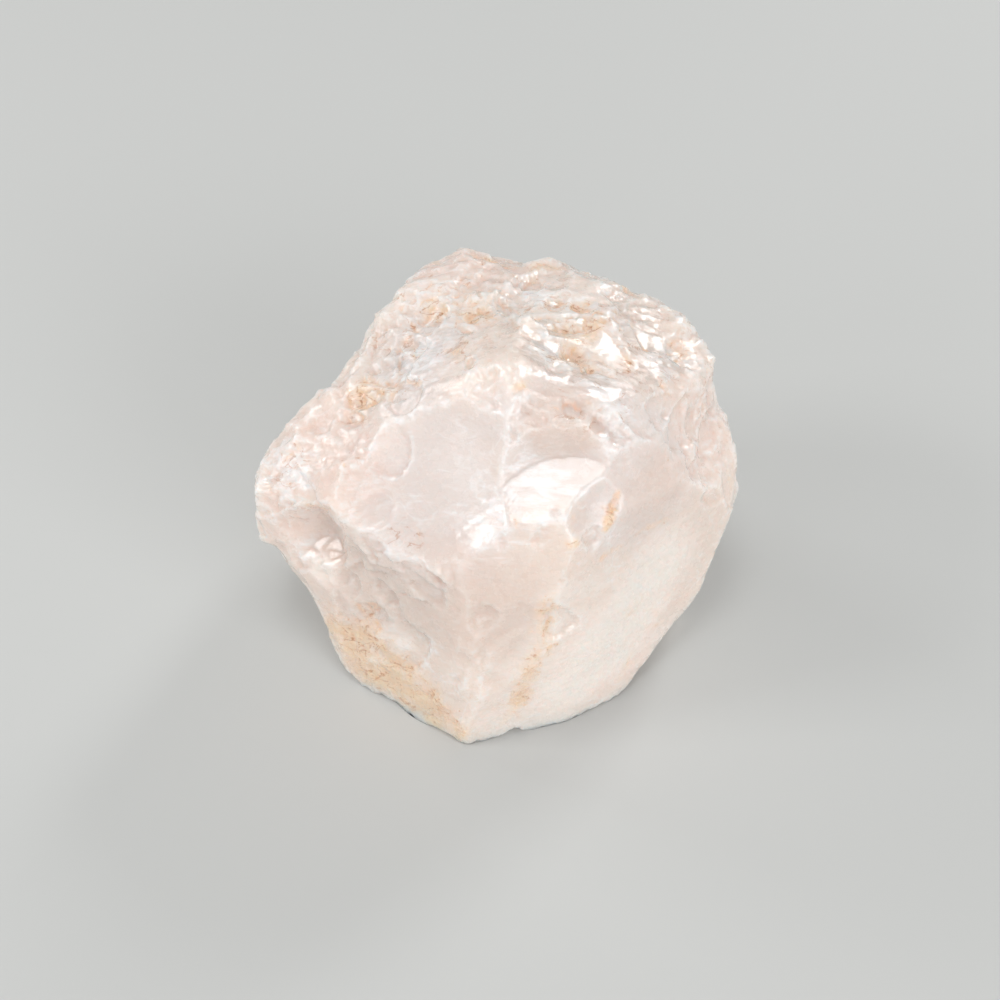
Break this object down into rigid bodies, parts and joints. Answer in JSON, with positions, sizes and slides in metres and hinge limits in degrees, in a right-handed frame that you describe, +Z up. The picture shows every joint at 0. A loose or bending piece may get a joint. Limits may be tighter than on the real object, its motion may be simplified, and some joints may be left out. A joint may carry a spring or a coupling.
{
  "type": "rose quartz chunk",
  "caption": "Rough natural chunk of rose quartz with broken faces, shell-shaped flake scars and a splintery crown, resting on a flat broken face.",
  "frame": {"origin": "on the resting face, under the middle of the stone's box", "axes": "+X to the stone's right, along its longest side; +Y to its back; +Z up, away from the resting face, along its shortest side"},
  "size_m": [0.0522, 0.0442, 0.0396],
  "materials": {
    "rose_quartz": "milky pale pink, slightly translucent quartz with a glassy sheen on fresh breaks, white frosted edges and rust-brown stains"
  },
  "bodies": {
    "root": {"rose_quartz_chunk": "rose_quartz"}
  },
  "joints": []
}
